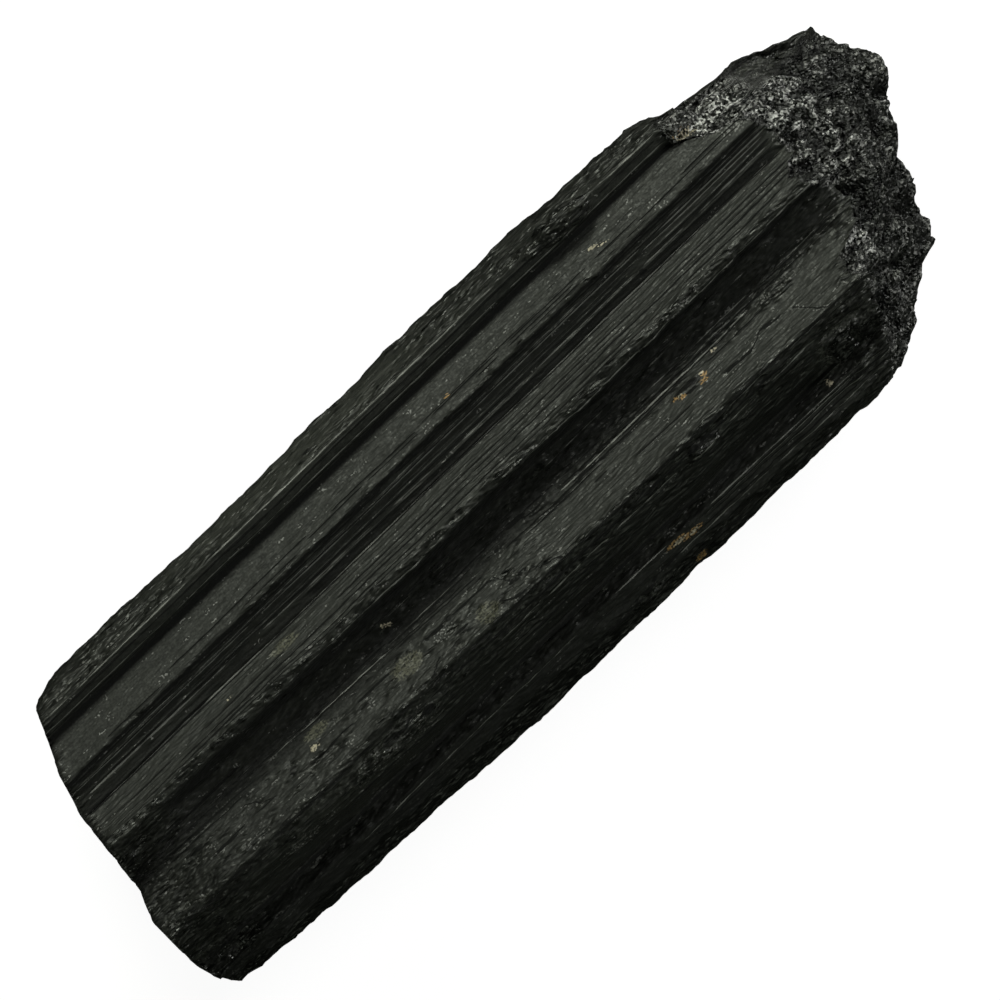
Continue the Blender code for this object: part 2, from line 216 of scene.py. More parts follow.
# The ends. A table gives x at each y: where the ridges stop, and how far the head reaches.
RIDGE_END = ((-20, 37), (-16, 40.0), (-14, 40.0), (-12, 41.0), (-10, 42.5), (-6, 41.5), (-4, 46.0),
             (-2, 47.0), (0, 46.7), (2.3, 45.0), (4, 43.7), (6, 45.6), (9, 45.8), (11.4, 45.3),
             (12.6, 43.4), (13.6, 40.4), (15.2, 37.6), (20, 36.8))
END_REACH = ((-20, 36.0), (-19, 38.4), (-17.4, 41.8), (-16.4, 44.2), (-14.2, 46.2), (-12.6, 48.0),
             (-11.6, 51.3), (-9.5, 52.2), (-6, 53.4), (-2.7, 55.2), (0, 57.0), (2.2, 57.9),
             (4, 59.2), (6, 60.1), (8.5, 59.8), (10, 59.0), (12.5, 57.9), (15, 57.0), (20, 56.0))
# How wide the rough rim of the ridges is, at each y.
END_WEAR = ((-20, 4.0), (-12, 3.5), (-9, 3.0), (-5, 2.0), (-3.5, 6.0), (0.5, 6.0), (2, 2.5), (3.5, 1.4),
            (5, 0.4), (11.5, 0.4), (12.5, 1.5), (15, 2.0), (20, 1.0))
END_LOW = 8.0              # the head's face slopes out down to this height
END_DROP = 1.1             # the ridges end in a small cliff
END_BELLY = 0.65           # under 1, the slope starts steep and bulges
END_UNDERCUT = 3.5         # how far the face draws back to the floor
END_BLUR = 4.5             # the ridges are forgotten over this much of y
END_LIFT = 3.0             # the underside rises this much towards the head
FOOT_FACE = ((-20, -56.8), (-18.2, -58.5), (-16.5, -59.4), (-12, -60.1), (-8, -60.2), (-4.2, -58.8),
             (1.5, -58.2), (6, -58.0), (10.5, -56.8), (14, -55.2), (17.5, -53.8), (20, -52.6))
FOOT_ROUNDING = (0.35, 1.8)    # how far the square end draws back to its top and bottom edge
FOOT_MIDDLE = 12.0         # the height between the two
FOOT_SLUMP = 1.6           # the -Y side of the top sinks this much towards the foot
FOOT_FILL = 1.9            # valley 3 is shallower there
CAP_POLE = (-1.0, 10.0)    # y and z where an end's spokes meet

# Hollows that chips left: x, y, z of the middle, half length, half width, depth.
CHIPS = (
    (22.5, 17.4, 19.2, 5.5, 1.6, 0.9), (-28.0, -11.4, 22.0, 8.0, 1.5, 0.7),
    (17.5, -10.7, 22.3, 2.4, 1.2, 0.6), (34.5, -3.7, 20.2, 3.0, 1.0, 0.5),
    (20.9, -4.9, 20.2, 2.3, 0.7, 0.3), (3.0, -18.6, 13.0, 4.0, 1.8, 0.6),
)
# Square pits: x and y of their edges.
PIT_EDGES = ((38.2, 41.6, -13.7, -11.8), (34.2, 37.4, -13.4, -11.3))
PIT_DEPTH = 1.2
# Hollows of the broken end: x, y, radius, depth.
HOLLOWS = (
    (52.6, 11.6, 0.9, 1.3), (52.0, 10.2, 0.8, 1.4), (52.7, 8.9, 0.9, 1.4), (54.0, 7.4, 0.9, 1.2),
    (46.6, 3.6, 1.0, 1.2), (54.4, 1.6, 1.2, 1.2), (58.0, 4.4, 1.1, 1.6), (47.9, -2.0, 1.1, 1.2),
    (51.4, -7.0, 1.2, 1.4), (46.2, -10.9, 1.0, 1.2), (49.5, 11.8, 0.7, 0.8), (56.0, 9.6, 0.9, 1.0),
    (50.2, 2.2, 0.8, 0.8), (56.0, 5.6, 0.8, 1.0), (53.0, -3.6, 0.9, 0.9), (48.8, 8.4, 0.7, 0.7),
)
# Cracks and steps on the top, as x and y along each.
CRACKS = (
    ((-8.4, -5.6), (-7.6, -6.8), (-6.9, -7.4), (-5.6, -7.1), (-4.6, -7.5), (-3.7, -8.4), (-2.4, -8.55),
     (-1.2, -8.95)),
    ((24.8, -6.6), (26.6, -6.65), (28.6, -6.45), (29.6, -6.1), (30.4, -5.65), (31.6, -5.8), (33.0, -5.95)),
    ((34.8, -6.2), (36.4, -8.0), (37.5, -8.8)), ((-50.3, -7.1), (-46.0, -6.9)),
    ((-20.2, -9.0), (-19.2, -8.5), (-18.3, -8.0)), ((-44.0, -5.4), (-42.6, -6.4), (-41.6, -6.9)),
    ((-4.0, -2.4), (-2.6, -2.7), (-1.4, -3.3), (0.5, -3.2)), ((-7.2, -3.65), (-5.4, -3.8)),
    ((-9.4, -8.0), (-8.2, -8.8), (-6.6, -8.95)), ((-13.6, -18.7), (-12.6, -18.2), (-11.6, -17.9)),
    ((-6.8, -18.5), (-4.0, -18.3), (-1.2, -18.3), (-0.2, -18.7)),
    ((0.4, -18.0), (3.4, -17.8), (4.6, -17.3), (9.0, -17.2)),
    ((-36.0, -17.2), (-30.0, -17.6), (-25.0, -17.2)), ((38.4, -13.5), (41.6, -13.5)),
)
NO_CRACK = 2.0             # the distance that means none is near
STEP_HEIGHT = 0.22         # the stone beyond the first crack lies this much lower
# How much the prism's edges are bitten.
WORN_CRESTS = (("crest A", 0.1), ("crest B", 0.5), ("crest C", 0.6), ("ledge under C", 0.3),
               ("crest D", 0.5), ("chipped edge", 0.25), ("crest E", 0.3), ("step under E", 0.5))
BITE_DEPTH = 0.6
RIPPLE = (26.0, 4.5, 0.22)             # length, width and height of the slow waves
RELIEF_SCALE = 0.14        # a rise or dip of this much is fully light or dark
LUMP_SIZES = ((9.0, 1.0), (4.5, 1.2))  # size and height of the ends' lumps
FOOT_COARSE = 1.9          # the foot broke this much coarser than the head

# x, y, half length, half width on the top: stains, pits with painted shade, clusters of bright
# grains painted as glints, and places painted lighter as if their faces caught the light.
SPOTS = {
    "ochre": (
        (22.9, -4.95, 0.4, 0.3), (22.4, -5.5, 0.5, 0.22), (18.9, -4.9, 0.45, 0.2),
        (19.6, -5.3, 0.45, 0.18), (38.2, 15.6, 0.6, 0.35), (8.5, -16.2, 1.3, 0.3),
        (10.6, -16.6, 1.3, 0.3), (1.2, 12.0, 0.25, 0.25), (9.7, -19.2, 0.7, 0.3)),
    "cream": (
        (22.9, -4.7, 0.25, 0.2), (19.3, -5.1, 0.3, 0.15), (38.7, 15.3, 1.0, 0.5), (39.5, 14.8, 0.5, 0.25),
        (23.4, 13.0, 0.5, 0.2), (24.5, 12.6, 0.5, 0.2), (-37.8, 4.2, 0.3, 0.2), (-20.6, -1.3, 0.4, 0.22),
        (-19.9, -1.7, 0.35, 0.2), (-34.7, -5.8, 0.6, 0.35), (25.4, -3.8, 0.4, 0.2),
        (32.1, -14.8, 0.3, 0.5), (8.9, -16.3, 0.9, 0.2), (10.8, -16.6, 0.8, 0.18)),
    "moss": (
        (-29.5, 4.4, 1.7, 0.45), (-21.4, -6.2, 1.8, 0.9), (-11.3, -7.9, 1.3, 0.9), (-33.4, -4.7, 1.4, 0.5)),
    "pits": (
        (20.7, -4.7, 1.5, 0.22), (21.0, -5.4, 1.3, 0.16), (-6.8, -7.35, 0.9, 0.28),
        (31.2, -5.72, 1.0, 0.16), (27.5, -6.6, 1.2, 0.14), (17.6, -10.1, 1.8, 0.42),
        (-25.6, -5.5, 2.4, 0.16), (-48.4, -7.0, 1.6, 0.14), (-2.6, -2.8, 1.3, 0.3),
        (-3.2, -18.4, 2.9, 0.26), (2.4, -17.9, 1.6, 0.2), (-16.6, -5.6, 1.2, 0.22),
        (-14.5, -7.3, 1.0, 0.14), (-31.0, 9.3, 0.8, 0.3), (-26.0, 9.7, 0.8, 0.3), (-51.5, -5.2, 1.0, 0.3),
        (25.6, 7.3, 0.35, 0.5), (-42.0, -9.6, 1.2, 0.3), (-28.0, -10.8, 1.2, 0.5),
        (-23.0, -11.2, 0.8, 0.5)),
    "flakes": (
        (-27.2, -6.5, 0.5, 0.4), (-26.6, -6.0, 0.3, 0.4), (28.2, -7.8, 0.5, 0.3), (18.2, -7.5, 0.5, 0.3),
        (14.5, -6.4, 0.4, 0.5), (5.7, -7.2, 0.3, 0.3), (0.4, -6.9, 0.3, 0.3), (5.0, -5.5, 0.4, 0.3),
        (-16.3, -6.3, 1.3, 0.6), (-8.5, -6.2, 0.4, 0.8), (-6.4, -6.6, 0.3, 0.6), (-31.5, -8.4, 0.6, 0.5),
        (-39.2, -9.2, 0.4, 0.3), (-36.9, -8.5, 0.4, 0.3), (34.7, -3.5, 2.4, 0.6),
        (17.8, -10.75, 1.8, 0.3), (11.0, -11.0, 2.2, 0.25), (23.4, -11.3, 1.4, 0.3),
        (21.5, -10.1, 0.4, 0.3), (-47.3, 13.4, 0.4, 0.4), (-49.2, 12.6, 0.4, 0.3),
        (-41.6, 10.5, 0.9, 0.5), (-15.3, 13.6, 0.3, 0.3), (-2.8, 13.5, 0.3, 0.7), (-0.8, 12.3, 0.3, 0.6),
        (-2.9, 10.9, 0.8, 0.4), (10.4, 12.6, 0.5, 0.4), (18.6, 13.5, 0.3, 0.4), (27.5, 13.1, 0.3, 0.3),
        (29.0, 13.0, 0.4, 0.3), (31.2, 12.2, 0.9, 0.4), (32.0, 11.4, 0.7, 0.5), (-10.0, 1.9, 0.9, 0.4),
        (25.5, 2.2, 3.0, 0.6), (-40.0, 0.4, 1.5, 0.4), (-28.0, -11.6, 6.0, 1.2), (-41.5, -12.2, 3.5, 0.5),
        (-45.5, -8.6, 1.6, 0.5), (-43.3, -5.8, 0.8, 0.5), (-50.0, -6.2, 0.8, 0.4),
        (-56.6, -4.4, 0.8, 0.4), (9.0, -15.0, 0.9, 0.3), (15.0, -14.6, 1.2, 0.5), (21.5, 16.4, 0.8, 0.4),
        (22.2, 15.6, 0.6, 0.3), (43.5, 12.5, 1.5, 0.8), (44.5, -12.2, 0.8, 0.6), (42.3, -9.2, 0.5, 1.2),
        (-56.4, -2.2, 1.0, 0.4), (-46.8, -1.4, 0.9, 0.25), (29.3, -1.7, 0.9, 0.3)),
    "lit": (
        (17.6, -10.8, 1.8, 0.4), (23.2, -11.0, 1.8, 0.4), (-16.0, 18.5, 19.0, 1.3),
        (-33.0, -11.2, 13.0, 1.5), (48.5, 7.8, 3.8, 4.5), (45.0, 14.2, 5.0, 2.4), (50.0, 2.6, 2.2, 1.6),
        (44.5, -6.6, 1.6, 2.2)),
}

def table(rows, at):
    """Read a two-column table at the given places."""
    xs, values = zip(*rows)
    return np.interp(at, xs, values)


def smooth_step(low, high, at):
    t = np.clip((at - low) / (high - low), 0.0, 1.0)
    return t * t * (3.0 - 2.0 * t)


def on_plane(along, across):
    """Points for noise that varies along the rod and around it, with no third coordinate."""
    along, across = np.broadcast_arrays(along, across)
    return np.stack((along, across, np.zeros(along.shape)), axis=-1)


# ---------------------------------------------------------------- noise
def scramble(cells, seed):
    """A number from 0 to 1 for each lattice cell, the same on every run."""
    x, y, z = (cells[..., k].astype(np.uint64) for k in range(3))
    h = x * np.uint64(0x9E3779B1) + y * np.uint64(0x85EBCA77) + z * np.uint64(0xC2B2AE3D)
    h = h + np.uint64(seed * 7919 + 17) * np.uint64(0x27D4EB2F)
    h ^= h >> np.uint64(15)
    h *= np.uint64(0x2C1B3C6D)
    h &= np.uint64(0xFFFFFFFF)
    h ^= h >> np.uint64(12)
    h *= np.uint64(0x297A2D39)
    h &= np.uint64(0xFFFFFFFF)
    h ^= h >> np.uint64(15)
    return (h & np.uint64(0xFFFFFF)).astype(float) / float(0xFFFFFF)


def noise(points, size, seed):
    """Gradient noise, about -1 to 1, for an array of points; size may differ along the axes."""
    p = np.asarray(points, float) / np.broadcast_to(np.asarray(size, float), (3,)) + 31.7 * seed
    cell = np.floor(p).astype(np.int64)
    f = p - cell
    fade = f ** 3 * (f * (f * 6.0 - 15.0) + 10.0)
    total = np.zeros(p.shape[:-1])
    for corner in itertools.product((0, 1), repeat=3):
        at = cell + np.array(corner)
        slope = np.stack([scramble(at, seed * 3 + k) * 2.0 - 1.0 for k in range(3)], axis=-1)
        rise = (slope * (f - np.array(corner))).sum(axis=-1)
        weight = np.where(np.array(corner) == 1, fade, 1.0 - fade).prod(axis=-1)
        total += rise * weight
    return total * 1.8


def grains(points, size, seed):
    """Angular grains: each has its own tilt. Returns height about 0, and nearness to an edge."""
    p = np.asarray(points, float) / np.broadcast_to(np.asarray(size, float), (3,)) + 13.1 * seed
    cell = np.floor(p).astype(np.int64)
    first = np.full(p.shape[:-1], 9.0)
    second = first.copy()
    height = np.zeros(p.shape[:-1])
    for step in itertools.product((-1, 0, 1), repeat=3):
        at = cell + np.array(step)
        centre = at + np.stack([scramble(at, seed * 5 + k) for k in range(3)], axis=-1)
        away = p - centre
        distance = np.sqrt((away ** 2).sum(axis=-1))
        tilt = np.stack([scramble(at, seed * 5 + 11 + k) * 2.0 - 1.0 for k in range(3)], axis=-1)
        plane = (away * tilt).sum(axis=-1) + 0.6 * (scramble(at, seed * 5 + 29) - 0.5)
        nearer = distance < first
        second = np.where(nearer, first, np.minimum(second, distance))
        height = np.where(nearer, plane, height)
        first = np.where(nearer, distance, first)
    return height, np.clip(1.0 - (second - first) * 4.0, 0.0, 1.0)


def blurred(values, axis, times):
    """Average each value with its neighbours, some times over, with ends kept or wrapped."""
    for _ in range(times):
        if axis == 1:
            values = (np.roll(values, 1, 1) + 2.0 * values + np.roll(values, -1, 1)) / 4.0
        else:
            inner = (values[:-2] + 2.0 * values[1:-1] + values[2:]) / 4.0
            values = np.concatenate((values[:1], inner, values[-1:]))
    return values

# ---------------------------------------------------------------- the sides
# A column of the mesh: the line it follows, its share of the way to the next line, the stria
# that it tops, the share of rough stone, and the way's width.
Column = namedtuple("Column", "line share stria rough width")


def striae_after(name, width, per_mm, draw):
    """The striae between a line and the next that lie clear of each other."""
    striae = [Stria(share, wide * STRIA_WIDEN, height, stretches)
              for share, wide, height, stretches in STRIAE.get(name, ())]
    for _ in range(int(round(per_mm * width))):
        share = draw.uniform(*RANDOM_SHARES)
        wide = draw.uniform(*RANDOM_WIDTHS)
        deep = -draw.uniform(*RANDOM_DEPTHS)
        start = draw.uniform(*RANDOM_STARTS)
        striae.append(Stria(share, wide, deep, ((start, start + draw.uniform(*RANDOM_LENGTHS)),)))
    kept = []
    for stria in striae:
        if all(abs(stria.share - other.share) * width > (stria.width + other.width) * 0.4 for other in kept):
            kept.append(stria)
    return kept


def shares_between(striae, width, parts):
    """Shares of the way to the next line: even ones, and three for each stria."""
    spots = []
    for share in (part / parts for part in range(parts)):
        clear = all(abs(share - stria.share) * width > stria.width * 0.7 for stria in striae)
        on_line = share == 0.0 and all(stria.share != 0.0 for stria in striae)
        if on_line or clear and share != 0.0:
            spots.append((share, None))
    for stria in striae:
        half = stria.width / width / 2.0
        spots += [(stria.share - half, None), (stria.share, stria), (stria.share + half, None)]
    return sorted((spot for spot in spots if 0.0 <= spot[0] < 1.0), key=lambda spot: spot[0])


def make_room(places, stria):
    """Before a stria that lies on a line: drop the columns on its near side, and add its foot."""
    while places and places[-1].stria is None and places[-1].share != 0.0:
        if (1.0 - places[-1].share) * places[-1].width >= stria.width * 0.75:
            break
        places.pop()
    if places:
        before = places[-1]
        share = 1.0 - stria.width / 2.0 / before.width
        if share > before.share + 0.02:
            places.append(before._replace(share=share, stria=None))


def columns():
    """The columns around the prism, with closer ones where a stria runs."""
    middle = STATIONS.index(0.0)
    draw = np.random.default_rng(7)
    places = []
    for k in range(len(LINES)):
        i = (SEAM + k) % len(LINES)
        name, ys, zs, per_mm, rough = LINES[i]
        _, next_ys, next_zs, _, _ = LINES[(i + 1) % len(LINES)]
        height = (zs[middle] + next_zs[middle]) / 2.0
        width = math.hypot(next_ys[middle] - ys[middle], next_zs[middle] - zs[middle])
        spacing = TOP_SPACING if height > TOP_FROM else SIDE_SPACING
        spacing = UNDER_SPACING if height < UNDER_BELOW else spacing
        striae = striae_after(name, width, per_mm, draw)
        for stria in striae:
            if stria.share == 0.0:
                make_room(places, stria)
        last = -1.0
        for share, stria in shares_between(striae, width, max(1, round(width / spacing))):
            if share - last >= 0.02 / width or stria is not None:
                places.append(Column(i, share, stria, rough, width))
                last = share
    while len(places) % 4:
        first, second = places[:2]
        places.insert(1, first._replace(share=(first.share + second.share) / 2.0, stria=None))
    return places


def curves(which):
    """Each line's y (1) or z (2) as a curve along x."""
    return np.array([np.polyfit(STATIONS, line[which], 2) for line in LINES])


CURVES = {1: curves(1), 2: curves(2)}


def section(x, places):
    """y and z of the columns, where x has one place per column in its last axis."""
    first = np.array([place.line for place in places])
    second = (first + 1) % len(LINES)
    share = np.array([place.share for place in places])
    width = np.array([place.width for place in places])
    sway = SWAY * noise(on_plane(x, share * width + 3.0 * first), (14.0, 2.5, 1.0), 50)
    share = share + sway / width * share * (1.0 - share) * 4.0
    read = {}
    for which, curve in CURVES.items():
        a, b = (curve[k, 0] * x * x + curve[k, 1] * x + curve[k, 2] for k in (first, second))
        if which == 1:
            a = a + LINE_SWAY * noise(on_plane(x, 5.0 * first), (9.0, 1.0, 1.0), 51)
            b = b + LINE_SWAY * noise(on_plane(x, 5.0 * second), (9.0, 1.0, 1.0), 51)
        read[which] = a + (b - a) * share
    y, z = read[1], read[2]
    y = y - table(SIDE_INSET, x) * smooth_step(*SIDE_REACH, y) * smooth_step(18.3, 15.5, z)
    slump = smooth_step(-50.0, -60.0, x) * smooth_step(3.0, -2.0, y) * smooth_step(8.0, 16.0, z)
    z = z - FOOT_SLUMP * slump + FOOT_FILL * smooth_step(-47.0, -57.0, x) * np.exp(-((y + 0.6) / 1.9) ** 2)
    z = z + END_LIFT * smooth_step(44.0, 60.0, x) * smooth_step(8.0, 0.0, z)
    return y, z


def top_height(y):
    """Height of the ridged top at the broken end."""
    top = sorted((line[1][-1], line[2][-1]) for line in LINES if line[2][-1] > TOP_FROM)
    return table(top, y)


def end_slope(y, z, spread):
    """x of the broken end at y and z, with the ridges above it averaged over a spread of y."""
    around = [y + spread * k for k in (-1.0, -0.5, 0.0, 0.5, 1.0)]
    near = np.mean([table(RIDGE_END, place) for place in around], axis=0)
    top = np.mean([top_height(place) for place in around], axis=0)
    far = table(END_REACH, y)
    near = np.minimum(near, far)
    down = np.clip((top - END_DROP - z) / (top - END_DROP - END_LOW), 0.0, 1.0)
    under = np.clip((END_LOW - z) / END_LOW, 0.0, 1.0)
    return near + (far - near) * down ** END_BELLY - END_UNDERCUT * under ** 1.5


def end_face(y, z):
    """x of the broken end's face: it meets each ridge at the rim, and forgets them below it."""
    below = smooth_step(0.0, 5.0, top_height(y) - z)
    return end_slope(y, z, 0.0) * (1.0 - below) + end_slope(y, z, END_BLUR) * below


def foot_face(y, z):
    """x of the square end's face at y and z."""
    above, below = FOOT_ROUNDING
    rise = (z - FOOT_MIDDLE) / FOOT_MIDDLE
    return table(FOOT_FACE, y) + np.where(rise > 0.0, above, below) * np.abs(rise) ** 2.5


def column_ends(places, face, start):
    """Where each column meets an end face."""
    x = np.full(len(places), start)
    for _ in range(40):
        x = 0.5 * (x + face(*section(x, places)))
    return x


def outward(y, z):
    """Directions in the section plane that point out of the stone, smoothed over the creases."""
    dy = blurred(np.roll(y, -1, 1) - np.roll(y, 1, 1), 1, 6)
    dz = blurred(np.roll(z, -1, 1) - np.roll(z, 1, 1), 1, 6)
    size = np.hypot(dy, dz)
    return np.stack((np.zeros_like(y), -dz / size, dy / size), axis=-1)


def stria_heights(x, places):
    """Height of each column's own stria: it fades at its ends and comes and goes along x."""
    height = np.zeros_like(x)
    for k, place in enumerate(places):
        if place.stria is None:
            continue
        there = np.zeros(len(x))
        for start, end in place.stria.stretches:
            begun = smooth_step(start - STRIA_FADE, start + STRIA_FADE, x[:, k])
            there = np.maximum(there, begun * smooth_step(end + STRIA_FADE, end - STRIA_FADE, x[:, k]))
        at = on_plane(x[:, k], 7.0 * k)
        wave = 0.85 + 0.45 * noise(at, (6.0, 1.0, 1.0), 52) + 0.35 * noise(at, (1.8, 1.0, 1.0), 53)
        height[:, k] = place.stria.height * there * np.clip(wave, 0.1, 1.2)
    return height


def side_zones(points, flat, foot, end):
    """How far each point of the sides belongs to a zone that is broken, worn or set lower."""
    x, y, z = (points[..., k] for k in range(3))
    beyond = smooth_step(0.2, -0.2, np.minimum(x + 1.2, crack_distance(points, 1)))
    beyond = beyond * smooth_step(-1.0, -3.0, x)
    split = smooth_step(30.5, 36.0, x + 1.5 * noise(flat, (3.0, 1.5, 1.0), 19))
    near_foot = smooth_step(-43.0, -56.0, x + 3.0 * noise(flat, (4.0, 3.0, 1.0), 9))
    return SimpleNamespace(
        top=smooth_step(8.0, 12.0, z),
        rim=smooth_step(-1.0, 0.2, (x - end) / table(END_WEAR, y) + 0.6 * noise(flat, (2.5, 1.6, 1.0), 8)),
        foot=near_foot * smooth_step(3.0, -1.0, y),
        foot_edge=smooth_step(1.6, 0.3, x - foot + 0.8 * noise(flat, (1.5, 1.2, 1.0), 13)),
        beyond=beyond * smooth_step(-3.8, -4.8, y) * smooth_step(-9.6, -9.0, y),
        split=split * smooth_step(-8.6, -10.0, y),
        calm=smooth_step(-40.0, -30.0, x) * smooth_step(6.0, -4.0, x) * smooth_step(16.6, 17.4, y))


def side_grain(places, z, flat, zone):
    """How granular the stone of the sides is, from 0 on a smooth facet to 1."""
    rough = blurred(np.broadcast_to([place.rough for place in places], z.shape), 1, 4)
    rough = rough * (1.0 - 0.3 * zone.calm)
    patches = noise(flat, (5.0, 1.8, 1.0), 10) + 0.6 * noise(flat, (1.6, 0.8, 1.0), 11)
    crumbly = noise(flat, (2.6, 1.0, 1.0), 26) + 0.6 * noise(flat, (1.1, 0.5, 1.0), 27)
    grain = np.clip(0.9 * rough + 0.35 * patches * (rough + 0.25), 0.0, 1.0)
    for broken in (zone.beyond * (0.3 + 0.5 * smooth_step(0.0, 0.5, crumbly)) * zone.top,
                   zone.rim, 0.9 * zone.foot, 0.7 * zone.foot_edge, zone.split * smooth_step(3.0, 8.0, z)):
        grain = np.maximum(grain, broken)
    return grain


def chip_hollows(points):
    """How deep the chips' hollows are, and how fresh the stone in them is."""
    deep = np.zeros(points.shape[:-1])
    fresh = deep
    for cx, cy, cz, half_length, half_width, depth in CHIPS:
        away = (points - (cx, cy, cz)) / (half_length, half_width, half_width)
        away = (away ** 2).sum(axis=-1) + 0.35 * noise(points, 1.6, 12)
        hollow = np.clip(1.0 - away, 0.0, 1.0)
        deep = deep + depth * hollow
        fresh = np.maximum(fresh, smooth_step(0.0, 0.25, hollow))
    return deep, fresh


def square_pits(x, y, flat):
    """How far each point lies inside a square pit, with ragged edges."""
    inside = np.full(x.shape, -9.0)
    for x0, x1, y0, y1 in PIT_EDGES:
        inside = np.maximum(inside, np.minimum(np.minimum(x - x0, x1 - x), np.minimum(y - y0, y1 - y)))
    return smooth_step(-0.25, 0.25, inside + 0.3 * noise(flat, (1.4, 0.9, 1.0), 20))


def sides(places):
    """Points and finish of the ridged sides: rows from foot to end, columns around."""
    zero = np.zeros(len(places))
    middle = section(zero, places)
    around = np.concatenate(((0.0,), np.cumsum(np.hypot(np.diff(middle[0]), np.diff(middle[1])))))
    foot = column_ends(places, foot_face, -57.0)
    end = column_ends(places, end_face, 45.0)
    jag = on_plane(zero, around)
    end = end + 0.5 * noise(jag, (1.0, 1.6, 1.0), 5) + 0.6 * noise(jag, (1.0, 0.7, 1.0), 6)
    x = foot + (end - foot) * np.linspace(0.0, 1.0, ROWS)[:, None]
    y, z = (blurred(values, 1, 1) for values in section(x, places))
    points = np.stack((x, y, z), axis=-1)
    flat = on_plane(x, around)
    zone = side_zones(points, flat, foot, end)
    grain = side_grain(places, z, flat, zone)

    length, width, height = RIPPLE
    cut = stria_heights(x, places) * (1.0 - 0.3 * grain)
    bulk, _ = grains(points, (6.0, 1.5, 1.5), 4)
    lump, _ = grains(points, (2.8, 0.9, 0.9), 2)
    speck, edge = grains(points, (1.4, 0.5, 0.5), 3)
    flanks = smooth_step(18.5, 15.0, z) * smooth_step(0.5, 3.0, z)
    chipped, fresh = chip_hollows(points)
    pit = square_pits(x, y, flat) * zone.top
    bites = noise(flat, (1.8, 0.8, 1.0), 14) + 0.6 * noise(flat, (0.9, 0.5, 1.0), 15) - 0.2
    bites = np.clip(bites, 0.0, 1.0) * crest_nearness(places)
    move = height * noise(points, (length, width, width), 1) + cut - STEP_HEIGHT * zone.beyond
    move = move + grain * (0.34 * bulk + 0.24 * lump + 0.14 * speck - 0.08 * edge)
    dents = 0.25 * noise(points, (6.0, 3.0, 3.0), 17) + 0.12 * noise(points, (2.0, 1.5, 1.5), 18)
    move = move + flanks * dents
    move = move - chipped - PIT_DEPTH * pit - BITE_DEPTH * bites
    resting = smooth_step(0.3, 1.4, z)
    moved = points + outward(y, z) * (move * resting)[..., None]

    shown = move - np.minimum(cut + 0.3, 0.0)
    relief = shown - blurred(blurred(shown, 1, 8), 0, 3)
    # deep holds painted shade above 0: the shaded sides of crevices, the SHADE stretches and the pits; below
    # 0 it marks fresh broken stone.
    deep = sunk(around, middle[1]) * (1.1 + 0.35 * noise(flat, (4.0, 1.0, 1.0), 16))
    deep = np.maximum(np.clip(deep, 0.0, 1.0), along_lines(x, places, SHADE))
    deep = deep * (1.0 - zone.split) - 0.7 * zone.split * zone.top - 0.5 * zone.rim * zone.top
    return moved, {
        "grain": np.maximum(grain, np.maximum(fresh, smooth_step(0.02, 0.2, bites))),
        "around": np.broadcast_to(around, x.shape),
        "relief": np.clip(relief / RELIEF_SCALE, -1.0, 1.0),
        "deep": np.maximum(deep, 1.15 * pit),
        "dull": along_lines(x, places, DULL),
        "stria": np.clip(cut / 0.2, -1.0, 1.0),
        "crack": crack_distance(points)}


def along_lines(x, places, amounts):
    """How shaded or dull each point is, from a table of the stretches between the lines."""
    shaded = np.zeros_like(x)
    for k, place in enumerate(places):
        if NAMES[place.line] in amounts:
            shaded[:, k] = np.interp(x[:, k], SHADE_AT, amounts[NAMES[place.line]])
    return blurred(shaded, 1, 3)


def crack_distance(points, count=None):
    """Signed distance in y from the nearest of the cracks, for points on the top."""
    x, y = points[..., 0], points[..., 1]
    nearest = np.full(x.shape, NO_CRACK)
    for crack in CRACKS[:count]:
        away = y - table(crack, x)
        past = np.maximum(np.maximum(crack[0][0] - x, x - crack[-1][0]), 0.0)
        away = away + np.where(away < 0.0, -1.0, 1.0) * 0.6 * past
        nearest = np.where(np.abs(away) < np.abs(nearest), away, nearest)
    return np.clip(nearest, -NO_CRACK, NO_CRACK)


def sunk(around, z):
    """How deep each column lies in a crevice's shaded side, from 0 to 1."""
    near = np.linspace(-1.4, 1.4, 29)
    mean = np.mean([np.interp(around + step, around, z) for step in near], axis=0)
    slope = np.gradient(z, around)
    return np.clip((mean - z) / 0.55, 0.0, 1.0) * smooth_step(0.35, -0.15, slope) * smooth_step(12.0, 14.0, z)


def crest_nearness(places):
    """How much a column is bitten: full at a worn crest's edge, 0 away from it."""
    middle = section(np.zeros(len(places)), places)
    nearness = np.zeros(len(places))
    for name, bitten in WORN_CRESTS:
        k = NAMES.index(name)
        away = np.hypot(middle[0] - CURVES[1][k, 2], middle[1] - CURVES[2][k, 2])
        nearness = np.maximum(nearness, bitten * smooth_step(0.9, 0.1, away))
    return nearness


# ---------------------------------------------------------------- the ends
# An end of the stone: its face, which way along x it looks, how lumpy it is, the rings of its
# mesh, how often their number of points halves, and where its UV island starts.
End = namedtuple("End", "face along_x lumpiness rings halve_every uv_left")
ENDS = (End(end_face, 1, 1.0, 60, 18, 0.02), End(foot_face, -1, 0.3, 20, 6, 0.52))


def spoke(rim, face):
    """Shares of the way from each rim point to the pole, at equal steps over the face."""
    y0, z0 = CAP_POLE
    share = np.linspace(0.0, 1.0, 160)[:, None]
    y, z = rim[:, 1] + (y0 - rim[:, 1]) * share, rim[:, 2] + (z0 - rim[:, 2]) * share
    x = face(y, z)
    step = np.sqrt(np.diff(x, axis=0) ** 2 + np.diff(y, axis=0) ** 2 + np.diff(z, axis=0) ** 2)
    length = np.vstack((np.zeros(len(rim)), np.cumsum(step, axis=0)))
    return share[:, 0], length / length[-1]


